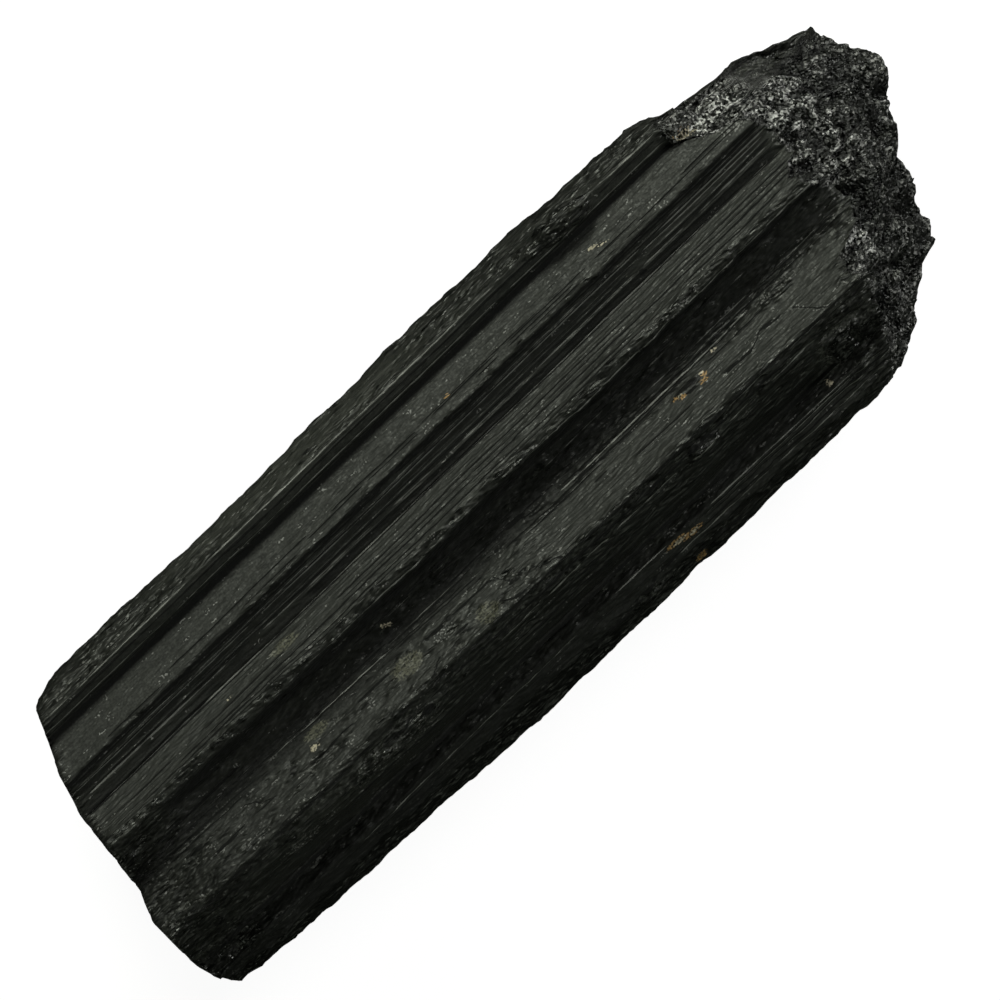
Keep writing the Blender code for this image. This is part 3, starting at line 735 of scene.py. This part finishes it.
def cap_rings(rim, end):
    """Rings of points from just inside a rim to the pole; every so often their number halves."""
    rings = []
    y0, z0 = CAP_POLE
    shares, length = spoke(rim, end.face)
    wander = rim[:, 0] - end.face(rim[:, 1], rim[:, 2])
    step = 1
    for k in range(1, end.rings):
        if k % end.halve_every == 0 and len(rim) % (step * 2) == 0:
            step *= 2
        share = np.array([np.interp(k / end.rings, length[:, c], shares) for c in range(0, len(rim), step)])
        y = rim[::step, 1] + (y0 - rim[::step, 1]) * share
        z = rim[::step, 2] + (z0 - rim[::step, 2]) * share
        settle = smooth_step(0.0, 0.15, k / end.rings)
        rings.append(np.column_stack((end.face(y, z) + wander[::step] * (1.0 - settle), y, z)))
    return rings + [np.array([[end.face(y0, z0), y0, z0]])]


def lumpy(points, end, strength):
    """The broken stone of an end: lumps, tilted grains and pits, moved along x and outward."""
    is_head = end.along_x > 0
    coarse = 1.0 if is_head else FOOT_COARSE
    big, big_edge = grains(points, 3.2 * coarse, 21)
    lump, edge = grains(points, 1.6 * coarse, 22)
    speck, speck_edge = grains(points, 0.8, 23)
    fine = 0.85 * coarse * big - 0.35 * big_edge + 0.6 * lump - 0.25 * edge
    fine = fine + (0.3 * speck - 0.1 * speck_edge) / coarse
    for x, y, radius, depth in HOLLOWS if is_head else ():
        away = np.hypot(points[:, 0] - x, points[:, 1] - y) / radius + 0.25 * noise(points, 0.9, 24)
        fine = fine - depth * smooth_step(1.25, 0.5, away)
    fine = fine * (1.0 - 0.75 * smooth_step(13.0, 14.5, points[:, 1]) * smooth_step(8.0, 11.0, points[:, 2]))
    move = fine + sum(height * noise(points, size, k + 3) for k, (size, height) in enumerate(LUMP_SIZES))
    push = np.array([0.75 * end.along_x, 0.0, 0.66 if is_head else 0.0])
    return points + push * (move * strength)[:, None], np.clip(fine * strength / 1.1, -1.0, 1.0)


def cap_finish(points, rise):
    """Finish of an end: all grain, and broken fresh but for the head's +Y side and patches of the foot."""
    older = points[:, 1] + 0.8 * noise(points, 1.8, 25)
    calm = smooth_step(13.0, 14.2, older) * smooth_step(46.0, 48.5, points[:, 0] + older - points[:, 1])
    patches = 0.5 + 0.4 * smooth_step(-0.1, 0.35, noise(points, 5.0, 26))
    calm = np.where(points[:, 0] > 0.0, 0.62 * calm, patches)
    even = {"grain": 1.0, "around": -50.0, "dull": 0.0, "stria": 0.0, "crack": NO_CRACK}
    even = {name: np.full(len(rise), value) for name, value in even.items()}
    return {"deep": calm - 1.0, "relief": rise, **even}


def ring_faces(outer, inner):
    """Faces from a ring's points to those of the next one in: as many, half of them, or the pole."""
    if len(inner) == 1:
        return [(outer[k], outer[(k + 1) % len(outer)], inner[0]) for k in range(len(outer))]
    faces = []
    for k in range(len(inner)):
        n = (k + 1) % len(inner)
        if len(outer) == len(inner):
            faces.append((outer[k], outer[n], inner[n], inner[k]))
        else:
            a, b, c = outer[2 * k], outer[2 * k + 1], outer[(2 * k + 2) % len(outer)]
            faces += [(a, b, inner[k]), (b, c, inner[n]), (b, inner[n], inner[k])]
    return faces


def cap(end, rim, rim_ids, first_id):
    """An end of the stone: its points, how much each rises, and the faces from the rim inwards."""
    points, rises, ids = [], [], [rim_ids]
    *rings, pole = cap_rings(rim, end)
    for index, ring in enumerate(rings):
        moved, rise = lumpy(ring, end, end.lumpiness * smooth_step(0.0, 4.0, float(index)))
        points.append(moved)
        rises.append(rise)
        ids.append(range(first_id, first_id + len(moved)))
        first_id += len(moved)
    faces = [face for outer, inner in zip(ids, ids[1:] + [[first_id]]) for face in ring_faces(outer, inner)]
    if end.along_x < 0:
        faces = [face[::-1] for face in faces]
    return np.concatenate(points + [pole]), np.concatenate(rises + [np.zeros(1)]), faces


# ---------------------------------------------------------------- the mesh
SIDE_V = 0.74              # the sides' share of the UV square's height
CAP_WIDTH = 44.0           # a box that holds either end: y and z of it fill an island
CAP_HEIGHT = 27.0


def side_faces(count):
    """Faces and UVs of the sides, row after row."""
    def side_uv(row, column):
        return (column / count * 0.98 + 0.01, 0.01 + row / (ROWS - 1) * SIDE_V)

    faces = []
    uvs = []
    for r in range(ROWS - 1):
        for k in range(count):
            n = (k + 1) % count
            faces.append((r * count + k, r * count + n, (r + 1) * count + n, (r + 1) * count + k))
            uvs.append((side_uv(r, k), side_uv(r, k + 1), side_uv(r + 1, k + 1), side_uv(r + 1, k)))
    return faces, uvs


def cap_uv(end, point):
    across = (point[1] + CAP_WIDTH / 2.0) / CAP_WIDTH
    up = min(max((point[2] + 1.0) / CAP_HEIGHT, 0.0), 1.0)
    return (end.uv_left + 0.46 * across, SIDE_V + 0.03 + 0.21 * up)


def crystal_mesh():
    """Points, faces, UVs and finish of the stone, and where around it each line runs."""
    places = columns()
    count = len(places)
    body, finish = sides(places)
    around = dict(zip(places, finish["around"][0]))
    positions = {NAMES[place.line]: at for place, at in around.items() if place.share == 0.0}
    points = body.reshape(-1, 3)
    finish = {name: values.ravel() for name, values in finish.items()}
    faces, uvs = side_faces(count)
    for end in ENDS:
        row = ROWS - 1 if end.along_x > 0 else 0
        made, rise, joined = cap(end, body[row], range(row * count, (row + 1) * count), len(points))
        points = np.concatenate((points, made))
        added = cap_finish(made, rise)
        finish = {name: np.concatenate((values, added[name])) for name, values in finish.items()}
        faces += joined
        uvs += [tuple(cap_uv(end, points[corner]) for corner in face) for face in joined]
    return points, faces, uvs, finish, positions


def fit_to_node(points):
    """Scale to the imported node's box, in metres."""
    low, high = (np.array(corner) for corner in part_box(NODE))
    own_low, own_high = points.min(axis=0), points.max(axis=0)
    return (points - own_low) / (own_high - own_low) * (high - low) + low


def spots(points, places):
    """How much of a listed spot lies at each point: stains, painted pit shade, painted glints, painted light.
    """
    spot_share = np.zeros(len(points))
    for x, y, half_length, half_width in places:
        away = ((points[:, 0] - x) / half_length) ** 2 + ((points[:, 1] - y) / half_width) ** 2
        spot_share = np.maximum(spot_share, np.clip(1.2 - 0.7 * away, 0.0, 1.0))
    return spot_share * (points[:, 2] > TOP_FROM)


# ---------------------------------------------------------------- material
# Colours, in linear light.
FACET = ((0.0215, 0.0228, 0.0190, 1.0), (0.0275, 0.0291, 0.0241, 1.0))     # two that drift together
CRUST = ((0.007, 0.0075, 0.006, 1.0), (0.048, 0.0505, 0.042, 1.0))         # old breaks, low to high
# the fresh grains' glassy end is a painted glint
FRESH_AND_SHINE = ((0.011, 0.0115, 0.0098, 1.0), (0.95, 0.96, 0.9, 1.0))             # fresh grains, dull to glassy
# the colour of the painted glints
GLINT = (0.46, 0.465, 0.43, 1.0)
# raised edges and ribs: partly wear, partly painted highlight
WORN_HIGHLIGHT = (0.36, 0.37, 0.33, 1.0)
# the colour of the painted shade
SHADOW = (0.0015, 0.0018, 0.0013, 1.0)
# Stains: their spots, colour, the least of a spot that shows, and the share at its middle.
STAINS = (("moss", (0.15, 0.15, 0.10), 0.0, 0.6), ("ochre", (0.42, 0.26, 0.10), 0.3, 1.0),
          ("cream", (0.55, 0.50, 0.36), 0.35, 1.0))
GLOSS_TINT = (0.97, 1.0, 0.935, 1.0)
TOURMALINE_IOR = 1.6
FINE_BUMP = 0.25 * MM
GRIT_BUMP = 1.2 * MM


class Nodes:
    """Short calls that add and join shader nodes."""

    def __init__(self, name):
        self.material = bpy.data.materials.new(name)
        self.material.use_nodes = True
        self.tree = self.material.node_tree
        self.shader = self.tree.nodes["Principled BSDF"]

    def add(self, kind, inputs=(), **settings):
        node = self.tree.nodes.new(kind)
        for key, value in settings.items():
            setattr(node, key, value)
        for key, value in dict(inputs).items():
            self.give(node.inputs[key], value)
        return node

    def give(self, socket, value):
        if isinstance(value, bpy.types.NodeSocket):
            self.tree.links.new(value, socket)
        else:
            socket.default_value = value

    def math(self, operation, *values, clamp=False):
        node = self.add("ShaderNodeMath", operation=operation, use_clamp=clamp)
        for socket, value in zip(node.inputs, values):
            self.give(socket, value)
        return node.outputs[0]

    def plus(self, a, b):
        return self.math("ADD", a, b)

    def minus(self, a, b):
        return self.math("SUBTRACT", a, b)

    def times(self, a, *factors):
        for factor in factors:
            a = self.math("MULTIPLY", a, factor)
        return a

    def most(self, a, *others):
        for other in others:
            a = self.math("MAXIMUM", a, other)
        return a

    def vector(self, operation, *values):
        node = self.add("ShaderNodeVectorMath", operation=operation)
        slots = [node.inputs["Scale"] if operation == "SCALE" and k == 1 else node.inputs[k]
                 for k in range(len(values))]
        for socket, value in zip(slots, values):
            self.give(socket, value)
        return node.outputs[0]

    def scaled(self, vector, *factors):
        for factor in factors:
            vector = self.vector("SCALE", vector, factor)
        return vector

    def remap(self, value, low, high, to_low=0.0, to_high=1.0, smooth=True):
        node = self.add("ShaderNodeMapRange", interpolation_type="SMOOTHSTEP" if smooth else "LINEAR")
        for socket, given in zip(node.inputs, (value, low, high, to_low, to_high)):
            self.give(socket, given)
        return node.outputs[0]

    def mix(self, share, a, b):
        node = self.add("ShaderNodeMix", data_type="RGBA")
        for key, value in (("Factor", share), ("A", a), ("B", b)):
            self.give(node.inputs[key], value)
        return node.outputs["Result"]

    def split(self, vector):
        return self.add("ShaderNodeSeparateXYZ", {"Vector": vector}).outputs

    def attribute(self, name):
        return self.add("ShaderNodeAttribute", attribute_name=name).outputs["Fac"]

    def noise(self, at, scale, detail):
        return self.add("ShaderNodeTexNoise", {
            "Vector": at, "Scale": scale, "Detail": detail, "Roughness": 0.55}).outputs["Fac"]

    def cells(self, at, scale):
        return self.add("ShaderNodeTexVoronoi", {"Vector": at, "Scale": scale}).outputs["Color"]


def patterns(n):
    """The places, noises and attributes of the mesh that the stone's colour and gloss are made of."""
    p = SimpleNamespace()
    for name in ("grain", "relief", "deep", "lit", "flakes", "pits", "dull"):
        setattr(p, name, n.attribute(name))
    p.fresh = n.remap(p.deep, -0.2, -1.0)
    mm = n.scaled(n.add("ShaderNodeTexCoord").outputs["Object"], 1.0 / MM)
    p.along = n.split(mm)["X"]
    drift = n.add("ShaderNodeTexNoise", {"W": n.times(p.along, 0.14), "Detail": 1.0}, noise_dimensions="1D")
    p.around = n.plus(n.attribute("around"), n.times(n.minus(drift.outputs["Fac"], 0.5), 0.16))

    def threads(stretch, scale):
        at = n.add("ShaderNodeCombineXYZ", {"X": n.times(p.along, stretch), "Y": p.around}).outputs[0]
        return n.add("ShaderNodeTexNoise", {"Vector": at, "Scale": scale, "Detail": 1.0},
                     noise_dimensions="2D").outputs["Fac"]

    p.long = threads(0.025, 2.2)
    p.brushed = threads(0.12, 4.2)
    drawn = n.mix(p.fresh, n.vector("MULTIPLY", mm, (0.32, 1.0, 1.0)), mm)
    lumps = n.noise(drawn, 1.4, 1.0)
    crumbs = n.noise(drawn, 3.4, 0.0)
    p.specks = n.noise(mm, 4.2, 0.0)
    p.clump = n.noise(mm, 0.5, 1.0)
    p.relieved = n.plus(n.times(lumps, 0.55), n.times(crumbs, 0.45))
    p.jitter = n.minus(n.plus(n.times(crumbs, 0.5), n.times(lumps, 0.5)), 0.5)
    p.facets = n.cells(drawn, 1.6)
    p.chips = n.cells(drawn, 3.5)
    p.chance = n.split(p.chips)
    p.stria = n.plus(n.attribute("stria"), n.times(p.jitter, 0.5))
    p.crack = n.math("ABSOLUTE", n.plus(n.attribute("crack"), n.times(p.jitter, 0.9)))
    # Painted shade of the crevices, the shaded stretches and the pits, from the deep attribute.
    p.cave = n.times(n.most(p.deep, 0.0), 0.85)
    return p


def painted_cleft_shade(n, p, positions):
    """How much painted cleft shade lies at a place."""
    total = 0.0
    for name, past, half, strength, ragged, start, end in CLEFT_SHADE:
        away = n.math("ABSOLUTE", n.minus(p.around, positions[name] + past))
        away = n.plus(away, n.times(p.jitter, ragged))
        one_cleft_shade = n.remap(away, half * 1.25, half * 0.5, 0.0, strength)
        within = n.times(n.remap(p.along, start, start + 3.0), n.remap(p.along, end, end - 1.5))
        total = n.most(total, n.times(one_cleft_shade, within))
    return total


def painted_crevice_shade(n, p, positions):
    """Painted shade in the clefts, cracks, grooves and pits, which are also made dull."""
    groove = n.remap(p.stria, -0.2, -0.45)
    pit = n.times(p.pits, n.plus(1.0, n.times(p.jitter, 3.0)))
    clefts = n.most(painted_cleft_shade(n, p, positions), n.remap(p.crack, 0.14, 0.07))
    return n.most(clefts, n.most(groove, n.remap(pit, 0.35, 0.6)))


def painted_shine(n, p):
    """How bright each small face of a fresh break is painted, as a glint where it would shine."""
    shine_share = n.math("POWER", n.remap(p.chance["Z"], 0.3, 1.0, 0.0, 1.0, smooth=False), 2.0)
    return n.times(shine_share, n.remap(n.split(p.facets)["X"], 0.15, 0.9, 0.25, 1.2, smooth=False),
                   n.remap(p.relieved, 0.38, 0.56, 0.1, 1.0), n.remap(p.clump, 0.42, 0.58, 0.35, 1.3),
                   n.remap(p.lit, 0.0, 1.0, 0.5, 4.6))


def glints(n, p):
    """Painted glints: single bright grains, and grains that lie together in clusters and along cracks."""
    few = n.plus(n.times(p.grain, 0.012), n.times(p.fresh, 0.1))
    few = n.plus(few, n.times(n.remap(p.clump, 0.55, 0.68), n.remap(p.grain, 0.1, 0.5, 0.0, 0.03)))
    single = n.plus(p.chance["X"], n.times(n.minus(p.specks, 0.5), 0.25))
    single = n.math("GREATER_THAN", n.plus(single, few), 1.02)
    loose = n.most(p.flakes, n.remap(p.crack, 0.5, 0.3, 0.0, 0.45))
    flake_glint = n.plus(n.times(n.plus(p.relieved, p.specks), 0.5), n.times(loose, 0.07))
    flake_glint = n.times(n.remap(flake_glint, 0.615, 0.68), n.remap(loose, 0.05, 0.3))
    return n.times(n.most(single, flake_glint), n.remap(p.fresh, 0.0, 1.0, 0.6, 0.85))


def schorl_colour(n, p, crevice_shade):
    # Facets and old breaks are painted lighter in the listed places, as if their faces caught the light.
    facet = n.scaled(n.mix(n.remap(p.clump, 0.35, 0.65), *FACET),
                     n.remap(p.long, 0.3, 0.7, 0.85, 1.15, smooth=False),
                     n.remap(p.specks, 0.3, 0.7, 0.75, 1.25, smooth=False),
                     n.remap(p.lit, 0.0, 1.0, 1.0, 2.2))
    crust = n.scaled(n.mix(n.remap(p.relieved, 0.34, 0.68), *CRUST), n.remap(p.lit, 0.0, 1.0, 1.0, 1.8))
    # Fresh breaks run from dull grains to glassy faces painted bright as glints.
    colour = n.mix(p.grain, facet, n.mix(p.fresh, crust, n.mix(painted_shine(n, p), *FRESH_AND_SHINE)))
    # Painted glints over the colour.
    colour = n.mix(glints(n, p), colour, GLINT)
    # Painted shade: dips of the relief, crevices, clefts, cracks, grooves and pits darken towards SHADOW.
    hollow = n.remap(n.minus(p.relief, n.times(p.fresh, 0.25)), -0.25, -0.8, 0.0, 0.92)
    colour = n.mix(n.most(n.most(hollow, p.cave), crevice_shade), colour, SHADOW)
    # Raised grains, edges and ribs are lighter: partly wear, partly painted highlight where they would catch
    # the light.
    worn_highlight = n.times(n.remap(p.relief, 0.45, 0.95), n.remap(p.specks, 0.4, 0.62, 0.05, 0.7),
                   n.remap(p.fresh, 0.0, 1.0, 0.5, 1.0))
    colour = n.mix(n.most(worn_highlight, n.remap(p.stria, 0.25, 0.6)), colour, WORN_HIGHLIGHT)
    for name, tint, low, share in STAINS:
        ragged = n.plus(n.times(p.jitter, 2.5), n.times(p.specks, 3.0))
        edge = n.times(n.attribute(name), n.minus(ragged, 0.5))
        varied = n.scaled(tint, n.remap(p.specks, 0.3, 0.7, 0.4, 1.3))
        colour = n.mix(n.remap(edge, low, 0.75, 0.0, share), colour, varied)
    return colour


def schorl_roughness(n, p, crevice_shade):
    satin = n.plus(n.remap(p.brushed, 0.3, 0.7, 0.6, 0.45, smooth=False),
                   n.remap(p.specks, 0.3, 0.7, 0.12, -0.12, smooth=False))
    broken = n.remap(p.chance["Y"], 0.0, 1.0, 0.66, 0.22, smooth=False)
    rough = n.add("ShaderNodeMix", data_type="FLOAT")
    for socket, value in zip((rough.inputs[0], rough.inputs[2], rough.inputs[3]), (p.grain, satin, broken)):
        n.give(socket, value)
    dull = n.plus(n.minus(rough.outputs[0], n.times(p.cave, 0.15)), n.times(p.dull, 0.35))
    return n.math("ADD", dull, n.times(crevice_shade, 0.6), clamp=True)


def schorl_normal(n, p):
    """Fine threads on the facets, grit where the stone is broken, and each grain's own tilt."""
    threads = n.plus(n.times(p.long, 0.3), n.times(p.brushed, 0.17))
    faces = n.add("ShaderNodeBump", {
        "Strength": n.minus(1.0, n.times(p.grain, 0.4)), "Distance": FINE_BUMP, "Height": threads})
    grit = n.add("ShaderNodeBump", {
        "Strength": n.remap(p.grain, 0.0, 1.0, 0.16, 0.8), "Distance": GRIT_BUMP, "Height": p.relieved,
        "Normal": faces.outputs[0]})
    tilt = n.vector("SUBTRACT", n.vector("ADD", p.facets, n.scaled(p.chips, 0.8)), (0.9, 0.9, 0.9))
    tilt = n.scaled(tilt, n.times(p.grain, n.remap(p.fresh, 0.0, 1.0, 0.3, 0.85)))
    return n.vector("NORMALIZE", n.vector("ADD", grit.outputs[0], tilt))


def schorl_material(positions):
    n = Nodes("schorl")
    p = patterns(n)
    crevice_shade = painted_crevice_shade(n, p, positions)
    n.give(n.shader.inputs["Base Color"], schorl_colour(n, p, crevice_shade))
    n.give(n.shader.inputs["Roughness"], schorl_roughness(n, p, crevice_shade))
    n.give(n.shader.inputs["Normal"], schorl_normal(n, p))
    n.shader.inputs["IOR"].default_value = TOURMALINE_IOR
    n.shader.inputs["Specular Tint"].default_value = GLOSS_TINT
    return n.material


def crystal():
    points, faces, uvs, finish, positions = crystal_mesh()
    for name, places in SPOTS.items():
        finish[name] = spots(points, places)
    mesh = bpy.data.meshes.new("tourmaline_rod")
    mesh.from_pydata(fit_to_node(points).tolist(), [], faces)
    for name, values in finish.items():
        layer = mesh.attributes.new(name, "FLOAT", "POINT")
        layer.data.foreach_set("value", values.astype(np.float32))
    uv_map = mesh.uv_layers.new(name="OFBake")
    uv_map.data.foreach_set("uv", np.array([pair for loop in uvs for pair in loop], np.float32).ravel())
    mesh.update()
    mesh.shade_smooth()
    rod = bpy.data.objects.new("tourmaline_rod", mesh)
    bpy.context.scene.collection.objects.link(rod)
    mesh.materials.append(schorl_material(positions))
    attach(rod, "root")
    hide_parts(NODE)
    return rod


# ---------------------------------------------------------------- stage, light and camera
VIEW_TURN = -43.0          # degrees the camera is rolled, so that the rod rises to the right
VIEW_CENTRE = (-2.19, -0.06)
VIEW_WIDTH = 107.2         # millimetres across the picture at the outline's height
OUTLINE_HEIGHT = 12.0
CAMERA_AWAY = 1.2          # metres
SENSOR = 36.0
FLOOR_RADIUS = 1.6         # metres
BACKDROP_RADIUS = 4.0
# Name, azimuth from +X towards +Y, elevation, distance and size in metres, power, colour.
LAMPS = (("key", 72.0, 33.0, 1.0, 0.4, 3.9, (0.97, 1.0, 0.91)),
         ("fill", -75.0, 22.0, 1.2, 0.8, 0.75, (0.93, 1.0, 0.86)),
         ("end", 5.0, 30.0, 1.1, 0.4, 4.1, (1.0, 1.0, 1.0)),
         ("foot", 190.0, 12.0, 1.1, 0.7, 1.2, (0.95, 1.0, 0.89)))
ROOM_COLOUR = (0.9, 1.0, 0.82, 1.0)
ROOM_LIGHT = 0.015


def camera():
    data = bpy.data.cameras.new("camera")
    data.sensor_width = SENSOR
    data.lens = SENSOR * CAMERA_AWAY / (VIEW_WIDTH * MM)
    data.clip_end = 10.0
    eye = bpy.data.objects.new("camera", data)
    x, y = VIEW_CENTRE
    eye.location = (x * MM, y * MM, CAMERA_AWAY + OUTLINE_HEIGHT * MM)
    eye.rotation_euler = (0.0, 0.0, math.radians(VIEW_TURN))
    bpy.context.scene.collection.objects.link(eye)
    bpy.context.scene.camera = eye


def stage_piece(name, grey, glow):
    """Name the shape just made, and make it glow a plain white that lights nothing."""
    n = Nodes(name)
    n.shader.inputs["Base Color"].default_value = (grey, grey, grey, 1.0)
    n.shader.inputs["Roughness"].default_value = 0.9
    n.shader.inputs["Emission Color"].default_value = (1.0, 1.0, 1.0, 1.0)
    n.shader.inputs["Emission Strength"].default_value = glow
    piece = bpy.context.object
    piece.name = name
    piece.data.materials.append(n.material)
    piece.visible_diffuse = False
    piece.visible_glossy = False
    return piece


def floor():
    bpy.ops.mesh.primitive_circle_add(vertices=96, radius=FLOOR_RADIUS, fill_type="NGON")
    stage_piece("floor", 0.3, 0.94)


def backdrop():
    bpy.ops.mesh.primitive_uv_sphere_add(segments=48, ring_count=24, radius=BACKDROP_RADIUS)
    stage_piece("backdrop", 0.0, 0.96).visible_shadow = False


def lamp(name, azimuth, elevation, away, size, power, colour):
    """A soft lamp that faces the rod."""
    data = bpy.data.lights.new(name, "AREA")
    data.shape = "DISK"
    data.size = size
    data.energy = power
    data.color = colour
    a, e = math.radians(azimuth), math.radians(elevation)
    where = Vector((math.cos(a) * math.cos(e), math.sin(a) * math.cos(e), math.sin(e))) * away
    light = bpy.data.objects.new(name, data)
    light.location = where
    light.rotation_euler = (-where).to_track_quat("-Z", "Y").to_euler()
    bpy.context.scene.collection.objects.link(light)


def lights():
    for settings in LAMPS:
        lamp(*settings)
    world = bpy.data.worlds.new("dim room")
    world.use_nodes = True
    background = world.node_tree.nodes["Background"]
    background.inputs["Color"].default_value = ROOM_COLOUR
    background.inputs["Strength"].default_value = ROOM_LIGHT
    bpy.context.scene.world = world
    bpy.context.scene.view_settings.view_transform = "Standard"


crystal()
camera()
floor()
backdrop()
lights()
